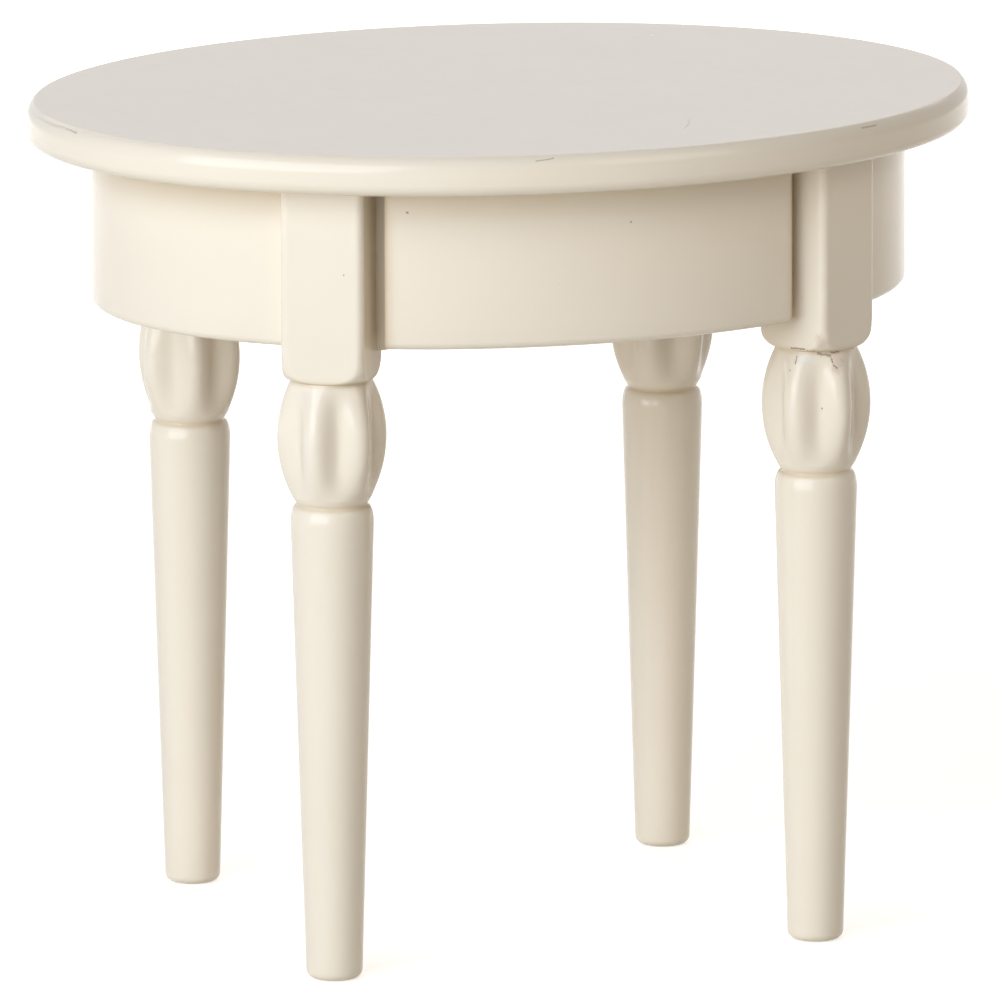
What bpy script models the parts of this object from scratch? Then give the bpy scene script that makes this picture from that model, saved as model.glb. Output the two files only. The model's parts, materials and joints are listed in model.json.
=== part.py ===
"""Miniature oval dining table: a round-edged top, a curved apron and four turned, fluted legs."""

import math

import bmesh
import bpy
from mathutils import Matrix, Vector

# Overall sizes, in metres
TABLE_HEIGHT = 0.0635
TOP_LENGTH = 0.0727
TOP_WIDTH = 0.0579
TOP_THICKNESS = 0.0030
TOP_UPPER_ROUND = 0.0006
TOP_LOWER_ROUND = 0.0010

# Curved apron rails
TOP_OVERHANG = 0.00487
RAIL_DEPTH = 0.01205
RAIL_THICKNESS = 0.0046
RAIL_LOWER_ROUND = 0.0006

# Open rebates at the ends of the long rails
REBATED_RAILS = ("front", "back")
REBATE_DEPTH = 0.0020
REBATE_WIDTH = 0.0009

# Leg heads, set on the apron's oval and turned to face straight out of it
LEG_PLACE_ON_OVAL = math.radians(50.5)
HEAD_SIDE = 0.00635
HEAD_PROUD_OF_APRON = 0.00158
HEAD_CORNER_EASE = 0.0002
HEAD_LENGTH = 0.0145
SHOULDER_HEIGHT = 0.0017

# Turned part of the leg
UPPER_NECK_RADIUS = 0.0030
BALUSTER_RADIUS = 0.0041
BALUSTER_LENGTH = 0.0095
BELLY_ABOVE_LOWER_NECK = 0.0051
LOWER_NECK_RADIUS = 0.0026
COLLAR_RADIUS = 0.0031
COLLAR_HEIGHT = 0.00145
FOOT_RADIUS = 0.00212
FOOT_ROUND = 0.00065

# Hollow flutes round the baluster, and where they start on each leg
FLUTE_COUNT = 6
FLUTE_FLOOR_RADIUS = 0.0031
FLUTE_HOLLOW_RADIUS = 0.0042
FLUTE_TURNS = {
    "front_left": math.radians(22),
    "front_right": math.radians(11),
    "back_left": math.radians(48),
    "back_right": math.radians(28),
}

# Dowels and the glue line that every joint keeps
JOINT_GAP = 0.0003
RAIL_DOWEL_RADIUS = 0.0005
RAIL_DOWEL_INTO_LEG = 0.0015
RAIL_DOWEL_INTO_RAIL = 0.0030
RAIL_DOWEL_FROM_EDGE = 0.0030
TOP_DOWEL_RADIUS = 0.0006
TOP_DOWEL_INTO_LEG = 0.0030
TOP_DOWEL_INTO_TOP = 0.0015
DOWEL_CHAMFER = 0.00015

# How finely the round shapes are divided
TOP_SIDES = 96
TURNING_STEPS = 32
RAIL_STEPS = 20
ARC_STEPS = 4
FLUTE_SIDES = 48
DOWEL_SIDES = 12
EDGE_STEPS = 3
MERGE_DISTANCE = 0.00001
SHARP_ANGLE = math.radians(35)
FLAT_ANGLE = math.radians(0.5)

# Colours
CREAM_PAINT = (0.78, 0.72, 0.63, 1.0)
BARE_BEECH = (0.62, 0.44, 0.28, 1.0)
PAINT_ROUGHNESS = 0.25
BEECH_ROUGHNESS = 0.7

# Places that follow from the sizes above
TOP_UNDERSIDE = TABLE_HEIGHT - TOP_THICKNESS
FRAME_TOP = TOP_UNDERSIDE - JOINT_GAP
APRON_X = TOP_LENGTH / 2 - TOP_OVERHANG
APRON_Y = TOP_WIDTH / 2 - TOP_OVERHANG
UPPER_NECK = FRAME_TOP - HEAD_LENGTH
LOWER_NECK = UPPER_NECK - BALUSTER_LENGTH
HEAD_RADIUS = HEAD_SIDE / math.sqrt(2) - HEAD_CORNER_EASE

# Signs of x and y for each corner, and the angle on the oval at each rail's middle
CORNERS = {"front_left": (-1, -1), "front_right": (1, -1), "back_left": (-1, 1), "back_right": (1, 1)}
RAIL_MIDDLES = {"right": 0.0, "back": math.pi / 2, "left": math.pi, "front": 3 * math.pi / 2}


def empty_scene():
    """Remove everything the scene starts with."""
    for thing in list(bpy.data.objects):
        bpy.data.objects.remove(thing, do_unlink=True)


def new_collection(name):
    """Add a collection to the scene."""
    collection = bpy.data.collections.new(name)
    bpy.context.scene.collection.children.link(collection)
    return collection


def finish_mesh(shape, mesh):
    """Put a finished bmesh into a mesh, shaded smooth with its corners left sharp."""
    shape.to_mesh(mesh)
    shape.free()
    mesh.shade_smooth()
    mesh.set_sharp_from_angle(angle=SHARP_ANGLE)
    return mesh


def cylinder_mesh(name, radius, length, sides):
    """A closed cylinder along Z, centred on the origin."""
    shape = bmesh.new()
    bmesh.ops.create_cone(
        shape, cap_ends=True, segments=sides, radius1=radius, radius2=radius, depth=length
    )
    return finish_mesh(shape, bpy.data.meshes.new(name))


def box_mesh(name, size):
    """A closed box centred on the origin."""
    shape = bmesh.new()
    bmesh.ops.create_cube(shape, size=1.0, matrix=Matrix.Diagonal((*size, 1.0)))
    return finish_mesh(shape, bpy.data.meshes.new(name))


def paint(part, colour, roughness):
    """Give a part a finish of its own."""
    finish = bpy.data.materials.new(part.name + "_finish")
    finish.use_nodes = True
    shader = finish.node_tree.nodes["Principled BSDF"]
    shader.inputs["Base Color"].default_value = colour
    shader.inputs["Roughness"].default_value = roughness
    shader.inputs["Metallic"].default_value = 0.0
    part.data.materials.clear()
    part.data.materials.append(finish)


def add_part(name, mesh, collection, parent):
    """Add a part to the table."""
    part = bpy.data.objects.new(name, mesh)
    part.parent = parent
    collection.objects.link(part)
    return part


def add_cutter(name, mesh, collection, parent=None):
    """Add a shape that only cuts others."""
    cutter = bpy.data.objects.new(name, mesh)
    cutter.parent = parent
    cutter.hide_render = True
    cutter.display_type = "WIRE"
    collection.objects.link(cutter)
    return cutter


def cut(part, name, cutters):
    """Cut a part with every shape in a collection of cutters."""
    boolean = part.modifiers.new(name, "BOOLEAN")
    boolean.operation = "DIFFERENCE"
    boolean.solver = "EXACT"
    boolean.operand_type = "COLLECTION"
    boolean.collection = cutters


def round_edges(part, radius):
    """Round a part's edges by radius times their bevel weight."""
    bevel = part.modifiers.new("round_edges", "BEVEL")
    bevel.limit_method = "WEIGHT"
    bevel.width = radius
    bevel.segments = EDGE_STEPS
    bevel.use_clamp_overlap = False


def weigh_edges(mesh, weight_of_height):
    """Set the bevel weight of each level edge from its height."""
    weights = mesh.attributes.new("bevel_weight_edge", "FLOAT", "EDGE")
    for edge in mesh.edges:
        heights = [mesh.vertices[v].co.z for v in edge.vertices]
        if abs(heights[0] - heights[1]) < MERGE_DISTANCE:
            weights.data[edge.index].value = weight_of_height(heights[0])


def oval_point(semi_x, semi_y, angle):
    """A point on an oval, at an angle on its parametric circle."""
    return Vector((semi_x * math.cos(angle), semi_y * math.sin(angle), 0.0))


def oval_normal(semi_x, semi_y, angle):
    """The outward normal of an oval at an angle on its parametric circle."""
    return Vector((math.cos(angle) / semi_x, math.sin(angle) / semi_y, 0.0)).normalized()


def leg_place():
    """The back right leg's axis, and the way its head faces."""
    facing = oval_normal(APRON_X, APRON_Y, LEG_PLACE_ON_OVAL)
    face = oval_point(APRON_X, APRON_Y, LEG_PLACE_ON_OVAL) + facing * HEAD_PROUD_OF_APRON
    return face - facing * (HEAD_SIDE / 2), facing


def rail_end_angle(semi_x, semi_y, side, gap):
    """Angle where an oval meets the end of a rail, a gap away from the back right leg's head.

    side is 1 for the rail towards the back of the table and -1 for the one on its right.
    """
    axis, facing = leg_place()
    along = Vector((-facing.y, facing.x, 0.0)) * side
    reach = axis.dot(along) + HEAD_SIDE / 2 + gap
    lean = math.atan2(semi_y * along.y, semi_x * along.x)
    return lean - side * math.acos(reach / math.hypot(semi_x * along.x, semi_y * along.y))


def rail_half_span(semi_x, semi_y, rail, gap):
    """Half the angle that a rail covers on an oval, with a gap left beside the heads."""
    if rail in ("front", "back"):
        return math.pi / 2 - rail_end_angle(semi_x, semi_y, 1, gap)
    return rail_end_angle(semi_x, semi_y, -1, gap)


def rail_point(rail, inset, gap, share):
    """A point in a rail's plan, at a share from -1 to 1 of the way between its ends."""
    semi_x = APRON_X - inset
    semi_y = APRON_Y - inset
    angle = RAIL_MIDDLES[rail] + share * rail_half_span(semi_x, semi_y, rail, gap)
    return oval_point(semi_x, semi_y, angle)


def rail_ends(rail):
    """Middle of each tongue's end on a rail, with the way that runs into the rail from there."""
    ends = []
    for side in (-1, 1):
        outside = rail_point(rail, REBATE_DEPTH, JOINT_GAP, side)
        inside = rail_point(rail, RAIL_THICKNESS, JOINT_GAP, side)
        half_span = rail_half_span(APRON_X, APRON_Y, rail, JOINT_GAP)
        facing = oval_normal(APRON_X, APRON_Y, RAIL_MIDDLES[rail] + side * half_span)
        inwards = Vector((facing.y, -facing.x, 0.0)) * side
        ends.append(((outside + inside) / 2, inwards))
    return ends


def rail_outline(rail):
    """Plan of a rail: its outer oval one way and its inner oval back, rebated where the rail is."""
    open_gap = JOINT_GAP + REBATE_WIDTH if rail in REBATED_RAILS else JOINT_GAP
    steps = [(open_gap, JOINT_GAP), (JOINT_GAP, open_gap)] if rail in REBATED_RAILS else [(), ()]
    shares = [2 * step / RAIL_STEPS - 1 for step in range(RAIL_STEPS + 1)]
    outline = [rail_point(rail, 0.0, open_gap, share) for share in shares]
    outline += [rail_point(rail, REBATE_DEPTH, gap, 1) for gap in steps[0]]
    outline += [rail_point(rail, RAIL_THICKNESS, JOINT_GAP, -share) for share in shares]
    outline += [rail_point(rail, REBATE_DEPTH, gap, -1) for gap in steps[1]]
    return outline


def rail_mesh(rail):
    """A curved rail as a closed mesh, centred on its own height."""
    curve = bpy.data.curves.new("apron_outline", "CURVE")
    curve.dimensions = "2D"
    curve.fill_mode = "BOTH"
    curve.extrude = RAIL_DEPTH / 2
    outline = rail_outline(rail)
    spline = curve.splines.new("POLY")
    spline.points.add(len(outline) - 1)
    for point, place in zip(spline.points, outline):
        point.co = (place.x, place.y, 0.0, 1.0)
    spline.use_cyclic_u = True
    drawn = bpy.data.objects.new("apron_outline", curve)
    bpy.context.scene.collection.objects.link(drawn)
    view = bpy.context.evaluated_depsgraph_get()
    mesh = bpy.data.meshes.new_from_object(drawn.evaluated_get(view))
    bpy.data.objects.remove(drawn, do_unlink=True)
    shape = bmesh.new()
    shape.from_mesh(mesh)
    bmesh.ops.remove_doubles(shape, verts=shape.verts, dist=MERGE_DISTANCE)
    bmesh.ops.dissolve_limit(shape, angle_limit=FLAT_ANGLE, verts=shape.verts, edges=shape.edges)
    bmesh.ops.recalc_face_normals(shape, faces=shape.faces)
    return finish_mesh(shape, mesh)


def make_rails(collection, parent, holes):
    """The four curved rails of the apron, drilled at their ends for their dowels."""
    for rail in RAIL_MIDDLES:
        mesh = rail_mesh(rail)
        weigh_edges(mesh, lambda height: 1.0 if height < 0 else 0.0)
        part = add_part("apron_" + rail, mesh, collection, parent)
        part.location.z = FRAME_TOP - RAIL_DEPTH / 2
        round_edges(part, RAIL_LOWER_ROUND)
        cut(part, "dowel_holes", holes["apron_" + rail])
        paint(part, CREAM_PAINT, PAINT_ROUGHNESS)


def bulge(from_height, to_height, wide_radius, narrow_radius):
    """Points of an arc that starts upright at its wide end and closes in to its narrow end."""
    reach = to_height - from_height
    drop = wide_radius - narrow_radius
    arc = (reach * reach + drop * drop) / (2 * drop)
    points = []
    for step in range(ARC_STEPS + 1):
        rise = reach * step / ARC_STEPS
        radius = wide_radius - arc + math.sqrt(arc * arc - rise * rise)
        points.append((radius, from_height + rise))
    return points


def quarter_round(centre, width, height, start):
    """Points of a quarter of an oval about a centre, turning down and clockwise from an angle."""
    points = []
    for step in range(ARC_STEPS + 1):
        angle = start - math.pi / 2 * step / ARC_STEPS
        points.append((centre[0] + width * math.cos(angle), centre[1] + height * math.sin(angle)))
    return points


def leg_profile():
    """Outer side of the turned leg from the top of its head to its foot."""
    belly = LOWER_NECK + BELLY_ABOVE_LOWER_NECK
    shaft_top = LOWER_NECK - COLLAR_HEIGHT
    shoulder = (UPPER_NECK_RADIUS, UPPER_NECK + SHOULDER_HEIGHT)
    foot = (FOOT_RADIUS - FOOT_ROUND, FOOT_ROUND)
    profile = [(0.0, FRAME_TOP), (HEAD_RADIUS, FRAME_TOP)]
    profile += quarter_round(shoulder, HEAD_RADIUS - UPPER_NECK_RADIUS, SHOULDER_HEIGHT, 0.0)
    profile += bulge(belly, UPPER_NECK, BALUSTER_RADIUS, UPPER_NECK_RADIUS)[-2::-1]
    profile += bulge(belly, LOWER_NECK, BALUSTER_RADIUS, LOWER_NECK_RADIUS)[1:]
    profile += bulge(shaft_top, LOWER_NECK, COLLAR_RADIUS, LOWER_NECK_RADIUS)[-2::-1]
    profile += quarter_round(foot, FOOT_ROUND, FOOT_ROUND, 0.0)
    return profile + [(0.0, 0.0)]


def profile_mesh():
    """The leg's profile as a line of edges, ready for turning."""
    shape = bmesh.new()
    line = [shape.verts.new((radius, 0.0, height)) for radius, height in leg_profile()]
    for upper, lower in zip(line, line[1:]):
        shape.edges.new((upper, lower))
    return finish_mesh(shape, bpy.data.meshes.new("leg_profile"))


def add_face_cutters(leg, cutters):
    """Four blocks that plane the leg's round head square."""
    plane = box_mesh("head_face", (HEAD_SIDE, 2 * HEAD_SIDE, 2 * HEAD_LENGTH))
    for step in range(4):
        turn = Matrix.Rotation(step * math.pi / 2, 4, "Z")
        shift = Matrix.Translation((HEAD_SIDE, 0.0, UPPER_NECK + HEAD_LENGTH))
        cutter = add_cutter(leg.name + "_face_cutter", plane, cutters, leg)
        cutter.matrix_local = turn @ shift


def add_flute_cutters(leg, cutters, first_turn):
    """Round gouges that hollow the flutes of the leg's baluster."""
    gouge = cylinder_mesh("flute_gouge", FLUTE_HOLLOW_RADIUS, BALUSTER_LENGTH, FLUTE_SIDES)
    for step in range(FLUTE_COUNT):
        turn = Matrix.Rotation(first_turn + step * 2 * math.pi / FLUTE_COUNT, 4, "Z")
        out = FLUTE_FLOOR_RADIUS + FLUTE_HOLLOW_RADIUS
        shift = Matrix.Translation((out, 0.0, (UPPER_NECK + LOWER_NECK) / 2))
        cutter = add_cutter(leg.name + "_flute_cutter", gouge, cutters, leg)
        cutter.matrix_local = turn @ shift


def make_legs(collection, parent, cutters, holes):
    """Four turned legs with square heads and fluted balusters, drilled for their dowels."""
    axis, facing = leg_place()
    for corner, (side_x, side_y) in CORNERS.items():
        part = add_part("leg_" + corner, profile_mesh(), collection, parent)
        part.location = (side_x * axis.x, side_y * axis.y, 0.0)
        part.rotation_euler.z = math.atan2(side_y * facing.y, side_x * facing.x)
        screw = part.modifiers.new("turning", "SCREW")
        screw.steps = TURNING_STEPS
        screw.render_steps = TURNING_STEPS
        screw.use_merge_vertices = True
        screw.merge_threshold = MERGE_DISTANCE
        shaping = bpy.data.collections.new(part.name + "_shaping")
        cutters.children.link(shaping)
        add_face_cutters(part, shaping)
        add_flute_cutters(part, shaping, FLUTE_TURNS[corner])
        cut(part, "shaping", shaping)
        cut(part, "dowel_holes", holes[part.name])
        paint(part, CREAM_PAINT, PAINT_ROUGHNESS)


def make_top(collection, parent, holes):
    """The oval top, with a crisp upper edge, a rounder lower one and blind dowel holes under it."""
    shape = bmesh.new()
    bmesh.ops.create_cone(
        shape, cap_ends=True, segments=TOP_SIDES, radius1=0.5, radius2=0.5, depth=TOP_THICKNESS
    )
    bmesh.ops.scale(shape, verts=shape.verts, vec=(TOP_LENGTH, TOP_WIDTH, 1.0))
    mesh = finish_mesh(shape, bpy.data.meshes.new("tabletop"))
    weigh_edges(mesh, lambda height: TOP_UPPER_ROUND / TOP_LOWER_ROUND if height > 0 else 1.0)
    part = add_part("tabletop", mesh, collection, parent)
    part.location.z = TABLE_HEIGHT - TOP_THICKNESS / 2
    round_edges(part, TOP_LOWER_ROUND)
    cut(part, "dowel_holes", holes["tabletop"])
    paint(part, CREAM_PAINT, PAINT_ROUGHNESS)


def add_dowel(name, radius, start, end, joins, collection, parent, cutters, holes):
    """A chamfered dowel from start to end, with the hole that it leaves in the pieces it joins."""
    along = end - start
    place = Matrix.Translation((start + end) / 2) @ along.to_track_quat("Z", "Y").to_matrix().to_4x4()
    dowel = add_part(name, cylinder_mesh(name, radius, along.length, DOWEL_SIDES), collection, parent)
    dowel.matrix_world = place
    chamfer = dowel.modifiers.new("chamfer", "BEVEL")
    chamfer.width = DOWEL_CHAMFER
    chamfer.segments = 1
    chamfer.limit_method = "ANGLE"
    chamfer.angle_limit = SHARP_ANGLE
    paint(dowel, BARE_BEECH, BEECH_ROUGHNESS)
    hole_length = along.length + 2 * JOINT_GAP
    hole = cylinder_mesh(name + "_hole", radius + JOINT_GAP, hole_length, DOWEL_SIDES)
    cutter = add_cutter(name + "_hole", hole, cutters)
    cutter.matrix_world = place
    for joined in joins:
        holes[joined].objects.link(cutter)


def rail_legs(rail):
    """The legs at a rail's two ends, in the order of rail_ends."""
    return {
        "right": ("front_right", "back_right"),
        "back": ("back_right", "back_left"),
        "left": ("back_left", "front_left"),
        "front": ("front_left", "front_right"),
    }[rail]


def make_dowels(collection, parent, cutters, holes):
    """Two dowels at each end of each rail, and one from each leg into the top."""
    levels = {
        "upper": FRAME_TOP - RAIL_DOWEL_FROM_EDGE,
        "lower": FRAME_TOP - RAIL_DEPTH + RAIL_DOWEL_FROM_EDGE,
    }
    for rail in RAIL_MIDDLES:
        for corner, (middle, inwards) in zip(rail_legs(rail), rail_ends(rail)):
            for level, height in levels.items():
                lift = Vector((0.0, 0.0, height))
                start = middle - inwards * (JOINT_GAP + RAIL_DOWEL_INTO_LEG) + lift
                end = middle + inwards * RAIL_DOWEL_INTO_RAIL + lift
                name = f"dowel_{corner}_to_{rail}_{level}"
                joins = ("apron_" + rail, "leg_" + corner)
                add_dowel(name, RAIL_DOWEL_RADIUS, start, end, joins, collection, parent, cutters, holes)
    axis, _ = leg_place()
    for corner, (side_x, side_y) in CORNERS.items():
        foot = Vector((side_x * axis.x, side_y * axis.y, FRAME_TOP - TOP_DOWEL_INTO_LEG))
        head = Vector((foot.x, foot.y, TOP_UNDERSIDE + TOP_DOWEL_INTO_TOP))
        joins = ("tabletop", "leg_" + corner)
        name = "top_dowel_" + corner
        add_dowel(name, TOP_DOWEL_RADIUS, foot, head, joins, collection, parent, cutters, holes)


def main():
    """Build the table."""
    empty_scene()
    table = new_collection("miniature_dining_table")
    cutters = new_collection("cutters")
    drilled = ["tabletop"]
    drilled += ["apron_" + rail for rail in RAIL_MIDDLES]
    drilled += ["leg_" + corner for corner in CORNERS]
    holes = {}
    for name in drilled:
        holes[name] = bpy.data.collections.new(name + "_holes")
        cutters.children.link(holes[name])
    stand = bpy.data.objects.new("table", None)
    table.objects.link(stand)
    make_dowels(table, stand, cutters, holes)
    make_top(table, stand, holes)
    make_rails(table, stand, holes)
    make_legs(table, stand, cutters, holes)


main()
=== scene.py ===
"""Looks of a miniature oval dining table: gloss cream paint over turned beech, on a pale studio floor."""

import json
import logging
import math
from dataclasses import dataclass
from enum import Enum

import bmesh
import bpy
from bpy.types import Material, Node, NodeSocket, NodeTree, Object
from mathutils import Matrix, Vector


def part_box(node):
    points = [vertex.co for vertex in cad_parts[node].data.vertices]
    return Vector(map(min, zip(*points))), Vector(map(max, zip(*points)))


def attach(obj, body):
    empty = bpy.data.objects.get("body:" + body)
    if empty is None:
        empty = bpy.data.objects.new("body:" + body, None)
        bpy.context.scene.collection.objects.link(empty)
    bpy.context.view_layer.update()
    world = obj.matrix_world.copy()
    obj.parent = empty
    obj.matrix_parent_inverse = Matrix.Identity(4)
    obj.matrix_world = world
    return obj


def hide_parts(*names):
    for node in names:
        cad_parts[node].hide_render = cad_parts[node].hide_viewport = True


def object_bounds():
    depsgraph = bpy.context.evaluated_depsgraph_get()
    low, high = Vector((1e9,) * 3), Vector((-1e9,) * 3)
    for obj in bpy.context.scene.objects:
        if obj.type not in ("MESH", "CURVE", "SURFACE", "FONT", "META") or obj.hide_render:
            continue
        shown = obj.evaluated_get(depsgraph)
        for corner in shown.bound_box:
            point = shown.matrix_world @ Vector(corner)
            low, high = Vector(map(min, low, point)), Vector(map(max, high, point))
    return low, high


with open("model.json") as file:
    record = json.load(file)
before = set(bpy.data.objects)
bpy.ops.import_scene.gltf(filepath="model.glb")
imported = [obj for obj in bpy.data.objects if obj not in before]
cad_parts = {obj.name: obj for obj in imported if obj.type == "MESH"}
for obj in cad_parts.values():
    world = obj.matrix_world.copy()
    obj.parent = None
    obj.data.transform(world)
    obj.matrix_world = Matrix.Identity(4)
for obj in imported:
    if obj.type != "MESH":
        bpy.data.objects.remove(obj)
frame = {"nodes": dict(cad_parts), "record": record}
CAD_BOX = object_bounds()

LOG = logging.getLogger("dining_table")
MM = 0.001
QUARTER_TURN = math.pi / 2
MERGE_DISTANCE = 0.002 * MM
DIGITS = 7

Colour = tuple[float, float, float, float]


def paint_chart(red: int, green: int, blue: int) -> Colour:
    """Turn a colour as a screen shows it into the linear colour that a shader takes.

    Args:
        red: Red from 0 to 255.
        green: Green from 0 to 255.
        blue: Blue from 0 to 255.

    Returns:
        The linear colour, with an alpha of 1.
    """
    linear = [((step / 255 + 0.055) / 1.055) ** 2.4 for step in (red, green, blue)]
    return (*linear, 1.0)


def smooth_min(first: float, second: float, blend: float) -> float:
    """Take the lesser of two sizes, with the corner where they cross rounded off.

    Args:
        first: One size.
        second: The other size.
        blend: How near the two are where the rounding starts.

    Returns:
        The rounded lesser size.
    """
    share = min(max(0.5 + 0.5 * (second - first) / blend, 0.0), 1.0)
    return second + (first - second) * share - blend * share * (1.0 - share)


def hill(distance: float, width: float) -> float:
    """A smooth hill that is 1 at no distance and fades out over a width."""
    return math.exp(-((distance / width) ** 2))


def arc(centre: Vector, reach: Vector, start: float, end: float, steps: int) -> list[Vector]:
    """Draw part of an ellipse.

    Args:
        centre: Centre as (radius, height).
        reach: Half width and half height of the ellipse.
        start: Angle of the first point, from the outward way up.
        end: Angle of the last point.
        steps: Number of steps along the arc.

    Returns:
        The points of the arc, as (radius, height).
    """
    line = []
    for step in range(steps + 1):
        angle = start + (end - start) * step / steps
        line.append(centre + Vector((reach.x * math.cos(angle), reach.y * math.sin(angle))))
    return line


def bulge(wide: Vector, narrow: Vector, steps: int) -> list[Vector]:
    """Draw an arc that starts upright at its wide end and closes in to its narrow end.

    Args:
        wide: Widest point as (radius, height).
        narrow: Narrowest point as (radius, height).
        steps: Number of steps along the arc.

    Returns:
        The points from the wide end to the narrow end.
    """
    rise = narrow.y - wide.y
    drop = wide.x - narrow.x
    bend = (rise * rise + drop * drop) / (2 * drop)
    line = []
    for step in range(steps + 1):
        height = rise * step / steps
        line.append(Vector((wide.x - bend + math.sqrt(bend * bend - height * height), wide.y + height)))
    return line


def even_steps(line: list[Vector], stride: float) -> list[Vector]:
    """Walk along a line and set a point at every stride.

    Args:
        line: Points of the line.
        stride: Distance between the new points, fitted to the line's length.

    Returns:
        The evenly spaced points, with both ends kept.
    """
    lengths = [(after - before).length for before, after in zip(line, line[1:])]
    count = max(1, round(sum(lengths) / stride))
    stride = sum(lengths) / count
    walked = [line[0]]
    passed = 0.0
    for before, after, length in zip(line, line[1:], lengths):
        while len(walked) < count and length > 0 and len(walked) * stride <= passed + length:
            walked.append(before.lerp(after, (len(walked) * stride - passed) / length))
        passed += length
    return [*walked, line[-1]]


def soften(line: list[Vector], passes: int) -> list[Vector]:
    """Round the corners of a line, as coats of paint do.

    Args:
        line: Evenly spaced points.
        passes: How many times each point is drawn towards its neighbours.

    Returns:
        The softened line, with both ends kept.
    """
    for _ in range(passes):
        inner = [(before + 2 * here + after) / 4 for before, here, after in zip(line, line[1:], line[2:])]
        line = [line[0], *inner, line[-1]]
    return line


class Corner(Enum):
    """A corner of the table where a leg stands: the signs of its x and y."""

    FRONT_LEFT = (-1, -1)
    FRONT_RIGHT = (1, -1)
    BACK_LEFT = (-1, 1)
    BACK_RIGHT = (1, 1)

    @property
    def word(self) -> str:
        """The corner as it is written in the names of pieces."""
        return self.name.lower()


class Rail(Enum):
    """A rail of the apron: the angle on the oval at its middle."""

    RIGHT = 0.0
    BACK = QUARTER_TURN
    LEFT = 2 * QUARTER_TURN
    FRONT = 3 * QUARTER_TURN

    @property
    def word(self) -> str:
        """The rail as it is written in the names of pieces."""
        return self.name.lower()

    @property
    def rebated(self) -> bool:
        """Whether the rail is one of the two long ones, whose ends stop short of the heads."""
        return self in (Rail.FRONT, Rail.BACK)


class Slot(Enum):
    """The two finishes that the part's record names."""

    CREAM_PAINT = "cream_paint"
    BARE_BEECH = "bare_beech"


@dataclass(frozen=True)
class Oval:
    """An ellipse in plan about the middle of the table."""

    semi_x: float
    semi_y: float

    def point(self, angle: float) -> Vector:
        """The point at an angle on the ellipse's parametric circle."""
        return Vector((self.semi_x * math.cos(angle), self.semi_y * math.sin(angle), 0.0))

    def normal(self, angle: float) -> Vector:
        """The outward normal at an angle on the ellipse's parametric circle."""
        return Vector((math.cos(angle) / self.semi_x, math.sin(angle) / self.semi_y, 0.0)).normalized()

    def shrunk(self, inset: float) -> "Oval":
        """The ellipse with both its half lengths cut by an inset."""
        return Oval(self.semi_x - inset, self.semi_y - inset)


class Value:
    """A number that varies over a surface: an output socket on which sums add Math nodes."""

    def __init__(self, graph: "NodeGraph", socket: NodeSocket) -> None:
        """Wrap an output socket of a graph."""
        self.graph = graph
        self.socket = socket

    def sum(self, operation: str, first: "Value | float", second: "Value | float") -> "Value":
        """Add a Math node for one operation on two terms."""
        made = self.graph.node("ShaderNodeMath", {"operation": operation}, {0: first, 1: second})
        return Value(self.graph, made.outputs[0])

    def __add__(self, other: "Value | float") -> "Value":
        """This value plus another."""
        return self.sum("ADD", self, other)

    def __radd__(self, other: float) -> "Value":
        """A number plus this value."""
        return self.sum("ADD", other, self)

    def __sub__(self, other: "Value | float") -> "Value":
        """This value less another."""
        return self.sum("SUBTRACT", self, other)

    def __rsub__(self, other: float) -> "Value":
        """A number less this value."""
        return self.sum("SUBTRACT", other, self)

    def __mul__(self, other: "Value | float") -> "Value":
        """This value times another."""
        return self.sum("MULTIPLY", self, other)

    def __rmul__(self, other: float) -> "Value":
        """A number times this value."""
        return self.sum("MULTIPLY", other, self)

    def fade(self, start: float, end: float) -> "Value":
        """Rise smoothly from 0 where this value is at start to 1 where it is at end."""
        settings = {"interpolation_type": "SMOOTHSTEP"}
        made = self.graph.node("ShaderNodeMapRange", settings, {0: self, 1: start, 2: end})
        return Value(self.graph, made.outputs[0])

    def greater(self, other: "Value | float") -> "Value":
        """The greater of this value and another."""
        return self.sum("MAXIMUM", self, other)

    def lesser(self, other: "Value | float") -> "Value":
        """The lesser of this value and another."""
        return self.sum("MINIMUM", self, other)


Source = Value | NodeSocket | float | tuple | Vector
Settings = dict[str, object]
Inputs = dict[int | str, Source]


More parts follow.
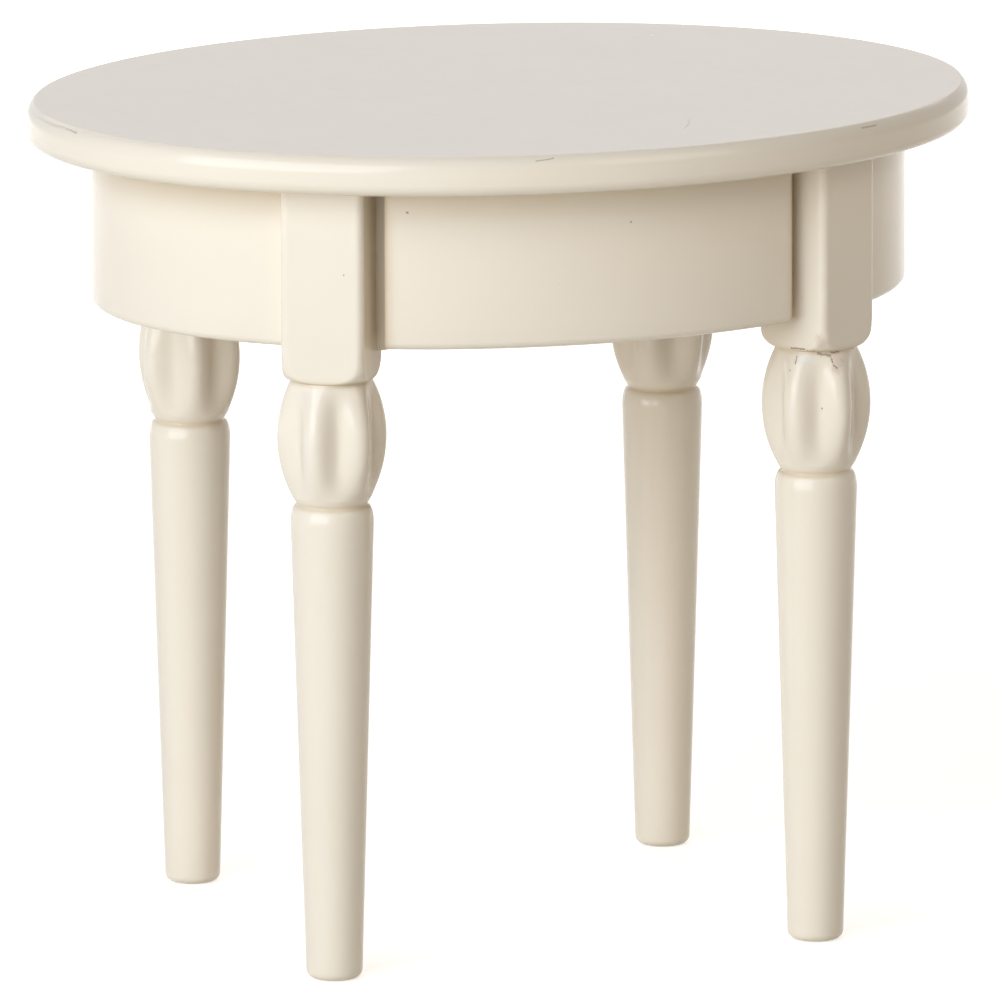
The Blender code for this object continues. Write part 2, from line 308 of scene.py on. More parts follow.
class NodeGraph:
    """The nodes of one material or of the world."""

    def __init__(self, tree: NodeTree) -> None:
        """Start an empty graph on a node tree."""
        self.tree = tree
        tree.nodes.clear()

    def node(self, kind: str, settings: Settings | None = None, inputs: Inputs | None = None) -> Node:
        """Add a node of any kind.

        Args:
            kind: The node's type.
            settings: What is set on the node itself, before its sockets.
            inputs: Values or links for its input sockets, by name or number.

        Returns:
            The new node.
        """
        made = self.tree.nodes.new(kind)
        for key, setting in (settings or {}).items():
            setattr(made, key, setting)
        for key, source in (inputs or {}).items():
            socket = source.socket if isinstance(source, Value) else source
            if isinstance(socket, NodeSocket):
                self.tree.links.new(socket, made.inputs[key])
            else:
                made.inputs[key].default_value = socket
        return made

    def value(self, kind: str, settings: Settings, inputs: Inputs, output: str) -> Value:
        """Add a node and wrap one of its outputs as a value."""
        return Value(self, self.node(kind, settings, inputs).outputs[output])

    def mix(self, share: Source, first: Source, second: Source) -> NodeSocket:
        """Mix two colours.

        Args:
            share: How much of the second colour shows.
            first: The colour at a share of 0.
            second: The colour at a share of 1.

        Returns:
            The mixed colour's socket.
        """
        return self.node("ShaderNodeMix", {"data_type": "RGBA"}, {0: share, 6: first, 7: second}).outputs[2]

    def place(self) -> NodeSocket:
        """Object coordinates, in metres."""
        return self.node("ShaderNodeTexCoord").outputs["Object"]

    def noise(self, place: NodeSocket, size: float, detail: float = 2.0) -> Value:
        """Cloudy variation about a half, with features of a given size."""
        inputs = {"Vector": place, "Scale": 1.0 / size, "Detail": detail}
        return self.value("ShaderNodeTexNoise", {}, inputs, "Fac")

    def attribute(self, name: str) -> Value:
        """A number that the mesh carries at its vertices."""
        return self.value("ShaderNodeAttribute", {"attribute_name": name}, {}, "Fac")

    def seen(self) -> Value:
        """1 for what the camera sees, straight or mirrored, and 0 for light that falls on the table."""
        path = self.node("ShaderNodeLightPath").outputs
        straight, mirrored, through = [
            Value(self, path[ray]) for ray in ("Is Camera Ray", "Is Glossy Ray", "Is Transmission Ray")
        ]
        return straight.greater(mirrored).greater(through)

    def along(self, place: Source, direction: Vector) -> Value:
        """How far a place lies in a direction."""
        settings = {"operation": "DOT_PRODUCT"}
        return self.value("ShaderNodeVectorMath", settings, {0: place, 1: direction}, "Value")

    def less(self, place: Source, other: Source) -> NodeSocket:
        """A place less another, as vectors."""
        return self.node("ShaderNodeVectorMath", {"operation": "SUBTRACT"}, {0: place, 1: other}).outputs[0]

    def scaled(self, way: Vector, share: Value) -> NodeSocket:
        """A share of the way along a vector."""
        return self.node("ShaderNodeVectorMath", {"operation": "SCALE"}, {0: way, "Scale": share}).outputs[0]

    def length(self, place: Source) -> Value:
        """The length of a vector."""
        return self.value("ShaderNodeVectorMath", {"operation": "LENGTH"}, {0: place}, "Value")

    def surface(self, colour: NodeSocket, gloss: Value, height: Value, index: float) -> None:
        """End the graph in a solid surface.

        Args:
            colour: The surface's colour.
            gloss: Its roughness.
            height: Its relief, in metres.
            index: Its refractive index.
        """
        bump = self.node("ShaderNodeBump", {}, {"Strength": 1.0, "Distance": 1.0, "Height": height})
        inputs = {"Base Color": colour, "Roughness": gloss, "Normal": bump.outputs[0], "IOR": index}
        shader = self.node("ShaderNodeBsdfPrincipled", {}, inputs)
        self.node("ShaderNodeOutputMaterial", {}, {"Surface": shader.outputs[0]})


def new_material(name: str) -> tuple[Material, NodeGraph]:
    """Start a material and its empty graph."""
    material = bpy.data.materials.new(name)
    material.use_nodes = True
    return material, NodeGraph(material.node_tree)


class MarkKind(Enum):
    """A kind of mark in the paint: its colour, how far it covers, and how far it stands up."""

    NIB = (paint_chart(104, 88, 70), 0.7, 0.02 * MM)
    SCRATCH = (paint_chart(128, 112, 96), 0.55, -0.01 * MM)
    CRACK = (paint_chart(138, 108, 90), 0.75, -0.03 * MM)
    SCUFF = (paint_chart(186, 170, 156), 0.5, -0.004 * MM)
    FLAKE = (paint_chart(206, 184, 168), 0.6, -0.012 * MM)
    BLOOM = (paint_chart(222, 224, 218), 0.5, 0.0)


@dataclass(frozen=True)
class PaintMark:
    """A mark in the paint that follows a line of points, in millimetres."""

    kind: MarkKind
    radius: float
    path: tuple[tuple[float, float, float], ...]
    raggedness: float = 2.2
    full_share: float = 0.1

    def mask(self, graph: NodeGraph, place: NodeSocket, ragged: Value) -> Value:
        """Find where the mark lies.

        Args:
            graph: The paint's graph.
            place: The place on the piece.
            ragged: Variation about a half that breaks up the mark's edge.

        Returns:
            1 in the mark, fading to 0 at its edge.
        """
        points = [Vector(point) * MM for point in self.path]
        offset = graph.less(place, points[0])
        distance = graph.length(offset)
        for start, end in zip(points, points[1:]):
            way = end - start
            offset = graph.less(place, start)
            share = graph.along(offset, way / way.length_squared).greater(0.0).lesser(1.0)
            distance = distance.lesser(graph.length(graph.less(offset, graph.scaled(way, share))))
        reach = self.radius * MM
        edge = distance + (ragged - 0.5) * reach * self.raggedness
        return 1.0 - edge.fade(self.full_share * reach, reach)


@dataclass(frozen=True)
class GlossPaint:
    """Sprayed cream gloss paint: a faint orange peel, dust nibs, and painted shade mixed with grime that
    darkens and warms the corners.
    """

    colour: Colour = paint_chart(236, 225, 206)
    # The darker, yellower colour used for the random tone and for the painted shade, with some grime, in
    # corners, creases and under the top.
    aged_and_shaded: Colour = paint_chart(206, 186, 152)
    rubbed: Colour = paint_chart(240, 231, 215)
    speck: Colour = paint_chart(92, 80, 66)
    roughness: float = 0.15
    cloud_size: float = 9 * MM
    peel_size: float = 0.5 * MM
    peel_depth: float = 0.00022 * MM
    ragged_size: float = 0.12 * MM
    index: float = 1.38
    base_tone: float = 0.05
    cloud_tone: float = 0.12
    # How far the painted shade, with some grime, pulls the paint towards the darker colour.
    shade_and_grime_tone: float = 0.6
    mottle_scale: float = 3.0
    mottle_gloss: float = 0.05
    worn_from: float = 0.35
    worn_to: float = 0.65
    worn_cover: float = 0.4
    worn_gloss: float = 0.05
    nib_spacing: float = 3.1 * MM
    nib_radius: float = 0.09 * MM
    nib_depth: float = 0.03 * MM
    nib_core: float = 0.4
    nib_pick_from: float = 0.72
    nib_pick_to: float = 0.95
    nib_cover: float = 0.75
    nib_gloss: float = 0.2
    mark_gloss: float = 0.15

    def nibs(self, graph: NodeGraph, place: NodeSocket) -> Value:
        """Sparse round dust nibs under the paint."""
        settings = {"feature": "F1", "distance": "EUCLIDEAN"}
        inputs = {"Vector": place, "Scale": 1.0 / self.nib_spacing}
        cells = graph.node("ShaderNodeTexVoronoi", settings, inputs)
        pick = graph.value("ShaderNodeSeparateColor", {}, {0: cells.outputs["Color"]}, "Red")
        radius = self.nib_radius / self.nib_spacing
        dot = 1.0 - Value(graph, cells.outputs["Distance"]).fade(self.nib_core * radius, radius)
        return dot * pick.fade(self.nib_pick_from, self.nib_pick_to)

    def make(self, name: str, marks: tuple[PaintMark, ...] = ()) -> Material:
        """Build the paint.

        Args:
            name: The material's name.
            marks: Marks on the one piece that has this paint.

        Returns:
            The finished material.
        """
        material, graph = new_material(name)
        place = graph.place()
        clouds = graph.noise(place, self.cloud_size)
        mottle = graph.noise(place, self.peel_size * self.mottle_scale)
        nibs = self.nibs(graph, place)
        # Painted shade with some grime: the mesh layer says where corners, creases and the band under the
        # top are darkened.
        shade_and_grime = graph.attribute("shade_and_grime")
        worn = graph.attribute("worn")
        tone = self.base_tone + (clouds - 0.5) * self.cloud_tone + shade_and_grime * self.shade_and_grime_tone
        colour = graph.mix(tone, self.colour, self.aged_and_shaded)
        rub = worn * mottle.fade(self.worn_from, self.worn_to)
        colour = graph.mix(rub * self.worn_cover, colour, self.rubbed)
        colour = graph.mix(nibs * self.nib_cover, colour, self.speck)
        gloss = self.roughness + (mottle - 0.5) * self.mottle_gloss
        gloss = gloss + worn * self.worn_gloss + nibs * self.nib_gloss
        height = graph.noise(place, self.peel_size) * self.peel_depth + nibs * self.nib_depth
        ragged = graph.noise(place, self.ragged_size) if marks else None
        for mark in marks:
            shade, cover, stand = mark.kind.value
            mask = mark.mask(graph, place, ragged)
            colour = graph.mix(mask * cover, colour, shade)
            gloss = gloss + mask * self.mark_gloss
            height = height + mask * stand
        graph.surface(colour, gloss, height, self.index)
        return material


@dataclass(frozen=True)
class BareBeech:
    """Bare turned beech with short dark flecks along its grain."""

    early: Colour = paint_chart(221, 186, 142)
    late: Colour = paint_chart(193, 150, 104)
    fleck: Colour = paint_chart(140, 98, 62)
    roughness: float = 0.62
    index: float = 1.5
    grain_size: float = 0.35 * MM
    grain_detail: float = 4.0
    grain_squash: float = 0.12
    grain_from: float = 0.3
    grain_to: float = 0.7
    grain_depth: float = 0.01 * MM
    fleck_size: float = 0.18 * MM
    fleck_from: float = 0.6
    fleck_to: float = 0.72
    fleck_cover: float = 0.6
    fleck_depth: float = 0.015 * MM
    fleck_gloss: float = 0.15

    def make(self, name: str, grain: Vector) -> Material:
        """Build the wood.

        Args:
            name: The material's name.
            grain: The way that the grain runs.

        Returns:
            The finished material.
        """
        material, graph = new_material(name)
        turn = grain.to_track_quat("Z", "Y").inverted().to_euler()
        settings = {"vector_type": "POINT"}
        inputs = {"Vector": graph.place(), "Rotation": turn, "Scale": (1.0, 1.0, self.grain_squash)}
        stretched = graph.node("ShaderNodeMapping", settings, inputs).outputs[0]
        rings = graph.noise(stretched, self.grain_size, self.grain_detail)
        flecks = graph.noise(stretched, self.fleck_size).fade(self.fleck_from, self.fleck_to)
        colour = graph.mix(rings.fade(self.grain_from, self.grain_to), self.early, self.late)
        colour = graph.mix(flecks * self.fleck_cover, colour, self.fleck)
        gloss = self.roughness + flecks * self.fleck_gloss
        height = rings * self.grain_depth - flecks * self.fleck_depth
        graph.surface(colour, gloss, height, self.index)
        return material


class Workpiece:
    """A mesh on the bench: turned or swept by operators, shaped vertex by vertex, then dressed."""

    def __init__(self, name: str) -> None:
        """Start an empty mesh with the two layers that the paint reads: wear, and painted shade mixed with
        grime.
        """
        self.name = name
        self.shape = bmesh.new()
        self.worn = self.shape.verts.layers.float.new("worn")
        # This layer holds where painted shade, with some grime, darkens the paint.
        self.shade_and_grime = self.shape.verts.layers.float.new("shade_and_grime")

    def sweep(self, line: list[Vector], closed: bool, steps: int) -> None:
        """Turn a line of (radius, height) points a quarter turn about the upright axis.

        Args:
            line: The line's points.
            closed: Whether the last point joins the first.
            steps: Number of steps.
        """
        verts = [self.shape.verts.new((point.x, 0.0, point.y)) for point in line]
        pairs = list(zip(verts, verts[1:] + verts[:1]))
        edges = [self.shape.edges.new(pair) for pair in (pairs if closed else pairs[:-1])]
        bmesh.ops.spin(
            self.shape,
            geom=verts + edges,
            cent=(0.0, 0.0, 0.0),
            axis=(0.0, 0.0, 1.0),
            angle=QUARTER_TURN,
            steps=steps,
        )

    def turn(self, line: list[Vector], steps: int) -> None:
        """Turn a line of (radius, height) points all the way round the upright axis.

        Args:
            line: The line's points, from the axis back to the axis.
            steps: Number of steps in a quarter, which is then copied round.
        """
        self.sweep(line, False, steps)
        quarter = [*self.shape.verts, *self.shape.edges, *self.shape.faces]
        for copy in range(1, 4):
            made = bmesh.ops.duplicate(self.shape, geom=quarter)["geom"]
            verts = [part for part in made if isinstance(part, bmesh.types.BMVert)]
            matrix = Matrix.Rotation(copy * QUARTER_TURN, 3, "Z")
            bmesh.ops.rotate(self.shape, verts=verts, cent=(0.0, 0.0, 0.0), matrix=matrix)
        bmesh.ops.remove_doubles(self.shape, verts=self.shape.verts, dist=MERGE_DISTANCE)

    def close(self) -> None:
        """Merge the seams and poles, fill the open ends and turn the faces outwards."""
        bmesh.ops.remove_doubles(self.shape, verts=self.shape.verts, dist=MERGE_DISTANCE)
        rims = [edge for edge in self.shape.edges if edge.is_boundary]
        if rims:
            bmesh.ops.edgeloop_fill(self.shape, edges=rims)
        bmesh.ops.recalc_face_normals(self.shape, faces=self.shape.faces)

    def finish(self, finish: Material, slot: Slot, sharp: float) -> Object:
        """Make the finished piece, which stands for the CAD node of its name.

        Args:
            finish: The piece's material.
            slot: The record's finish that it belongs to.
            sharp: Angle past which an edge stays crisp.

        Returns:
            The piece.
        """
        mesh = bpy.data.meshes.new(self.name)
        self.shape.to_mesh(mesh)
        self.shape.free()
        mesh.shade_smooth()
        mesh.set_sharp_from_angle(angle=sharp)
        mesh.materials.append(finish)
        piece = bpy.data.objects.new(self.name + "_finished", mesh)
        bpy.context.scene.collection.objects.link(piece)
        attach(piece, "root")
        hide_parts(self.name)
        LOG.info("%s: %d faces, %s", piece.name, len(mesh.polygons), slot.value)
        return piece


@dataclass
class Tabletop:
    """The oval top: a crisp crease round its face, a swelling edge below it and a rounder lower edge."""

    paint: Material
    crease_round: float = 0.12 * MM
    crease_tilt: float = math.radians(53)
    edge_round: float = 1.5 * MM
    lower_round: float = 0.95 * MM
    rim_depth: float = 4.0 * MM
    worn_width: float = 0.1 * MM
    sides: int = 80
    crease_steps: int = 4
    round_steps: int = 12
    band_steps: int = 3
    face_rings: int = 14
    sharp_angle: float = math.radians(40)

    def __post_init__(self) -> None:
        """Take the overall sizes from the frame."""
        low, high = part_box("tabletop")
        self.oval = Oval(high.x, high.y)
        self.underside = low.z
        self.upper_face = high.z
        gap = self.edge_round - self.crease_round
        self.crease_inset = self.edge_round - gap * math.cos(self.crease_tilt)

    def profile(self) -> list[Vector]:
        """Half of the top's section, from the middle of its upper face round to the middle below."""
        rim = self.oval.semi_x
        out = Vector((math.cos(self.crease_tilt), math.sin(self.crease_tilt)))
        gap = self.edge_round - self.crease_round
        swell = Vector((rim - self.edge_round, self.upper_face - self.crease_round - gap * out.y))
        crease = swell + out * gap
        lower = Vector((rim - self.lower_round, self.underside + self.lower_round))
        inner = rim - self.rim_depth
        rings = [Vector((inner * ring / self.face_rings, 0.0)) for ring in range(self.face_rings + 1)]
        face = Vector((0.0, self.upper_face))
        base = Vector((0.0, self.underside))
        line = [ring + face for ring in rings] + [face + Vector((crease.x - self.crease_round, 0.0))]
        reach = Vector((self.crease_round,) * 2)
        line += arc(crease, reach, QUARTER_TURN, self.crease_tilt, self.crease_steps)
        line += arc(swell, Vector((self.edge_round,) * 2), self.crease_tilt, 0.0, self.round_steps)[1:]
        foot = lower + Vector((self.lower_round, 0.0))
        line += [line[-1].lerp(foot, step / self.band_steps) for step in range(1, self.band_steps)]
        line += arc(lower, Vector((self.lower_round,) * 2), 0.0, -QUARTER_TURN, self.round_steps)
        return line + [ring + base for ring in reversed(rings)]

    def fit_to_oval(self, work: Workpiece) -> None:
        """Move the turned disc out to the oval, with its edge the same all round."""
        inner = self.oval.semi_x - self.rim_depth
        for vert in work.shape.verts:
            reach = math.hypot(vert.co.x, vert.co.y)
            angle = math.atan2(vert.co.y, vert.co.x)
            inset = min(self.oval.semi_x - reach, self.rim_depth)
            place = self.oval.point(angle) - self.oval.normal(angle) * inset
            place *= min(reach / inner, 1.0)
            vert.co = (place.x, place.y, vert.co.z)
            crease = math.hypot(inset - self.crease_inset, self.upper_face - vert.co.z)
            vert[work.worn] = hill(crease, self.worn_width)

    def build(self) -> Object:
        """Make the top."""
        work = Workpiece("tabletop")
        work.turn(self.profile(), self.sides)
        self.fit_to_oval(work)
        work.close()
        return work.finish(self.paint, Slot.CREAM_PAINT, self.sharp_angle)


@dataclass
class LegPlace:
    """Where the heads of the legs stand on the apron's oval, read from the frame."""

    place_on_oval: float = math.radians(50.5)
    head_side: float = 6.35 * MM

    def __post_init__(self) -> None:
        """Take the apron's oval and the leg's axis from the frame."""
        self.apron = Oval(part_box("apron_right")[1].x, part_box("apron_back")[1].y)
        feet = {mount["name"]: mount["pos_m"] for mount in frame["record"]["mounts"]}
        self.axis = Vector(feet["foot_back_right"])
        self.facing = self.apron.normal(self.place_on_oval)

    def axis_of(self, corner: Corner) -> Vector:
        """The foot of a leg's axis."""
        side_x, side_y = corner.value
        return Vector((side_x * self.axis.x, side_y * self.axis.y, 0.0))

    def facing_of(self, corner: Corner) -> float:
        """The angle in plan that a leg's head faces."""
        side_x, side_y = corner.value
        return math.atan2(side_y * self.facing.y, side_x * self.facing.x)

    def end_angle(self, oval: Oval, side: int, gap: float) -> float:
        """Find where an oval meets a side of the back right leg's head.

        Args:
            oval: The oval.
            side: 1 for the head's side towards the back of the table, -1 for the other.
            gap: Distance to keep from the head's side.

        Returns:
            The angle on the oval.
        """
        along = Vector((-self.facing.y, self.facing.x, 0.0)) * side
        reach = self.axis.dot(along) + self.head_side / 2 + gap
        lean = math.atan2(oval.semi_y * along.y, oval.semi_x * along.x)
        return lean - side * math.acos(reach / math.hypot(oval.semi_x * along.x, oval.semi_y * along.y))

    def half_span(self, oval: Oval, rail: Rail, gap: float) -> float:
        """Half the angle on an oval that a rail covers between its two heads."""
        if rail.rebated:
            return QUARTER_TURN - self.end_angle(oval, 1, gap)
        return self.end_angle(oval, -1, gap)


@dataclass
class ApronRail:
    """A curved rail of the apron: the long ones have a rebate at each end, open beside the leg's head."""

    rail: Rail
    legs: LegPlace
    paint: Material
    thickness: float = 4.6 * MM
    lower_round: float = 0.6 * MM
    rebate_depth: float = 2.5 * MM
    rebate_corner: float = 0.02 * MM
    open_joint: float = 1.15 * MM
    bite: float = 0.15 * MM
    end_round: float = 0.5 * MM
    glue_drop: float = 0.5 * MM
    glue_reach: float = 2.0 * MM
    groove_shade: float = 0.6 * MM
    top_shade: float = 1.5 * MM
    worn_height: float = 0.4 * MM
    steps: int = 128
    face_steps: int = 8
    round_steps: int = 6
    sharp_angle: float = math.radians(40)

    def __post_init__(self) -> None:
        """Take the rail's heights from the frame."""
        self.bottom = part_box("apron_" + self.rail.word)[0].z
        self.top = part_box("tabletop")[0].z

    def section(self) -> list[Vector]:
        """The rail's closed section as (distance in from the outer face, height)."""
        low = self.bottom + self.lower_round
        reach = Vector((self.lower_round,) * 2)
        outer = Vector((self.lower_round, low))
        inner = Vector((self.thickness - self.lower_round, low))
        heights = [self.top + (low - self.top) * step / self.face_steps for step in range(self.face_steps)]
        corner = [self.rebate_depth - self.rebate_corner, self.rebate_depth + self.rebate_corner]
        line = [Vector((0.0, height)) for height in heights]
        line += arc(outer, reach, 2 * QUARTER_TURN, 3 * QUARTER_TURN, self.round_steps)
        line += [Vector((inset, self.bottom)) for inset in corner]
        line += arc(inner, reach, -QUARTER_TURN, 0.0, self.round_steps)
        line += [Vector((self.thickness, height)) for height in reversed(heights)]
        return line + [Vector((inset, self.top)) for inset in reversed(corner)]

    def bend(self, work: Workpiece, turned: float) -> None:
        """Bend the swept section along the apron's oval, rebate its ends and fill out their glue.

        Args:
            work: The swept rail.
            turned: Radius at which the outer face was swept.
        """
        spans = {}
        end_round = self.end_round if self.rail.rebated else 0.0
        for vert in work.shape.verts:
            share = math.sin(2 * math.atan2(vert.co.y, vert.co.x) - QUARTER_TURN)
            inset = round(turned - math.hypot(vert.co.x, vert.co.y), DIGITS)
            oval = self.legs.apron.shrunk(inset)
            outside = inset < self.rebate_depth
            vert.tag = outside
            if inset not in spans:
                gap = self.open_joint if outside and self.rail.rebated else -self.bite
                spans[inset] = self.legs.half_span(oval, self.rail, gap)
            angle = self.rail.value + spans[inset] * share
            speed = math.hypot(oval.semi_x * math.sin(angle), oval.semi_y * math.cos(angle))
            from_end = spans[inset] * (1 - abs(share)) * speed
            short = max(end_round - from_end, 0.0)
            ease = end_round - math.sqrt(end_round**2 - short**2)
            fade = max(1 - inset / self.rebate_depth, 0.0)
            place = oval.point(angle) - oval.normal(angle) * ease * fade
            glue = hill(from_end, self.glue_reach) if self.rail.rebated and not outside else 0.0
            drop = self.glue_drop * glue * hill(vert.co.z - self.bottom, self.lower_round)
            vert.co = (place.x, place.y, vert.co.z - drop)
            # Painted shade, with some grime: the rail's inner part, the rebated ends beside the heads and a
            # band under the top's overhang are darkened.
            groove = float(not outside)
            if outside and self.rail.rebated:
                groove = hill(from_end, self.groove_shade)
            shade = hill(self.top - vert.co.z, self.top_shade)
            vert[work.shade_and_grime] = max(groove, shade)
            vert[work.worn] = hill(vert.co.z - self.bottom, self.worn_height) * fade

    def close_ends(self, work: Workpiece) -> None:
        """Close each end in three faces: the rail's end, the rebate's floor and the tongue's end."""
        rims = [edge for edge in work.shape.edges if edge.is_boundary]
        steps = [edge for edge in rims if edge.verts[0].tag != edge.verts[1].tag]
        way = Vector((math.cos(self.rail.value), math.sin(self.rail.value), 0.0))
        for side in (-1, 1):
            floor = [edge for edge in steps if way.cross(edge.verts[0].co).z * side > 0]
            bmesh.ops.contextual_create(work.shape, geom=floor)

    def build(self) -> Object:
        """Make the rail."""
        work = Workpiece("apron_" + self.rail.word)
        turned = self.legs.apron.semi_x
        line = [Vector((turned - point.x, point.y)) for point in self.section()]
        work.sweep(line, True, self.steps)
        self.bend(work, turned)
        if self.rail.rebated:
            self.close_ends(work)
        work.close()
        return work.finish(self.paint, Slot.CREAM_PAINT, self.sharp_angle)


@dataclass
class TurnedLeg:
    """A leg: square head, shoulder, fluted baluster, collar and a tapered shaft on a round foot."""

    corner: Corner
    legs: LegPlace
    paint: Material
    flute_turn: float
    head_round: float = 0.6 * MM
    head_blank: float = 4.6 * MM
    shoulder_radius: float = 4.29 * MM
    shoulder_height: float = 1.7 * MM
    upper_neck: float = 45.7 * MM
    upper_neck_radius: float = 3.0 * MM
    belly: float = 41.3 * MM
    belly_radius: float = 4.1 * MM
    lower_neck: float = 36.2 * MM
    lower_neck_radius: float = 2.62 * MM
    shaft_top: float = 34.75 * MM
    shaft_radius: float = 3.1 * MM
    collar_rise: float = 1.3 * MM
    collar_round: float = 0.5 * MM
    collar_start: float = math.radians(62)
    foot_radius: float = 2.12 * MM
    foot_round: float = 0.65 * MM
    flutes: int = 6
    flute_end: float = 3.0 * MM
    flute_depth: float = 0.95 * MM
    arris: float = 0.22 * MM
    shoulder_worn: float = 0.25 * MM
    belly_worn: float = 0.22 * MM
    neck_shade: float = 0.25 * MM
    core_share: float = 0.6
    carved_share: float = 0.03
    head_stride: float = 1.5 * MM
    turning_steps: int = 60
    arc_steps: int = 24
    stride: float = 0.09 * MM
    coats: int = 2
    shaft_steps: int = 16
    foot_steps: int = 8
    sharp_angle: float = math.radians(50)

    def __post_init__(self) -> None:
        """Take the top of the head from the frame."""
        self.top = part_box("tabletop")[0].z
        self.half_head = self.legs.head_side / 2

    def profile(self) -> list[Vector]:
        """Outer side of the turned leg, from the middle of its head down to the middle of its foot."""
        shoulder_top = self.upper_neck + self.shoulder_height
        drop = self.shoulder_radius - self.upper_neck_radius
        upper_neck = Vector((self.upper_neck_radius, self.upper_neck))
        lower_neck = Vector((self.lower_neck_radius, self.lower_neck))
        belly = Vector((self.belly_radius, self.belly))
        shaft = Vector((self.shaft_radius, self.shaft_top))
        foot = Vector((self.foot_radius, self.foot_round))
        shoulder = Vector((self.upper_neck_radius, shoulder_top))
        carved = arc(shoulder, Vector((drop, self.shoulder_height)), 0.0, -QUARTER_TURN, self.arc_steps)
        carved += bulge(belly, upper_neck, self.arc_steps)[-2::-1]
        carved += bulge(belly, lower_neck, self.arc_steps)[1:]
        collar = Vector((self.shaft_radius - self.collar_round, self.lower_neck - self.collar_rise))
        reach = Vector((self.collar_round, self.collar_rise))
        carved += [*arc(collar, reach, self.collar_start, 0.0, self.arc_steps), shaft]
        carved = soften(even_steps([*carved, shaft.lerp(foot, self.carved_share)], self.stride), self.coats)
        head = [Vector((self.head_blank, self.top)), Vector((self.head_blank, shoulder_top + self.stride))]
        line = [Vector((0.0, self.top)), Vector((self.half_head / 2, self.top))]
        line += even_steps(head, self.head_stride) + carved
        line += [carved[-1].lerp(foot, step / self.shaft_steps) for step in range(1, self.shaft_steps)]
        sole = foot - Vector((self.foot_round, 0.0))
        line += arc(sole, Vector((self.foot_round,) * 2), 0.0, -QUARTER_TURN, self.foot_steps)
        return [*line, Vector((self.foot_radius / 3, 0.0)), Vector((0.0, 0.0))]

    def square_reach(self, angle: float) -> float:
        """Distance from the axis to the head's rounded square, at an angle from its outward face."""
        turned = abs((angle + QUARTER_TURN / 2) % QUARTER_TURN - QUARTER_TURN / 2)
        flat = self.half_head - self.head_round
        if math.tan(turned) * self.half_head <= flat:
            return self.half_head / math.cos(turned)
        middle = flat * (math.cos(turned) + math.sin(turned))
        return middle + math.sqrt(middle * middle - 2 * flat * flat + self.head_round**2)

    def fluted(self, radius: float, angle: float) -> float:
        """Hollow the baluster into soft waves that run out towards its two necks.

        Args:
            radius: Distance from the axis to the turned surface.
            angle: Angle from the head's outward face.

        Returns:
            Distance from the axis to the fluted surface.
        """
        share = max(radius - self.flute_end, 0.0) / (self.belly_radius - self.flute_end)
        wave = math.cos(self.flutes * (angle - self.flute_turn) / 2) ** 2
        return radius - self.flute_depth * share * wave

    def carve(self, work: Workpiece) -> None:
        """Plane the head square and hollow the flutes of the baluster."""
        for vert in work.shape.verts:
            radius = math.hypot(vert.co.x, vert.co.y)
            height = vert.co.z
            if radius < self.half_head * self.core_share or height < self.shaft_top:
                continue
            angle = math.atan2(vert.co.y, vert.co.x)
            cut = radius
            if height > self.upper_neck:
                cut = smooth_min(radius, self.square_reach(angle), self.arris)
                vert[work.worn] = hill(self.shoulder_radius - cut, self.shoulder_worn)
            elif height > self.lower_neck:
                cut = self.fluted(radius, angle)
                vert[work.worn] = hill(self.belly_radius - cut, self.belly_worn)
            # Painted shade, with some grime, darkens the paint in the two necks.
            neck = min(abs(height - self.upper_neck), abs(height - self.lower_neck))
            vert[work.shade_and_grime] = hill(neck, self.neck_shade)
            vert.co.x *= cut / radius
            vert.co.y *= cut / radius

    def build(self) -> Object:
        """Make the leg."""
        work = Workpiece("leg_" + self.corner.word)
        work.turn(self.profile(), self.turning_steps)
        self.carve(work)
        work.close()
        turn = Matrix.Rotation(self.legs.facing_of(self.corner), 4, "Z")
        place = Matrix.Translation(self.legs.axis_of(self.corner)) @ turn
        bmesh.ops.transform(work.shape, matrix=place, verts=work.shape.verts)
        return work.finish(self.paint, Slot.CREAM_PAINT, self.sharp_angle)


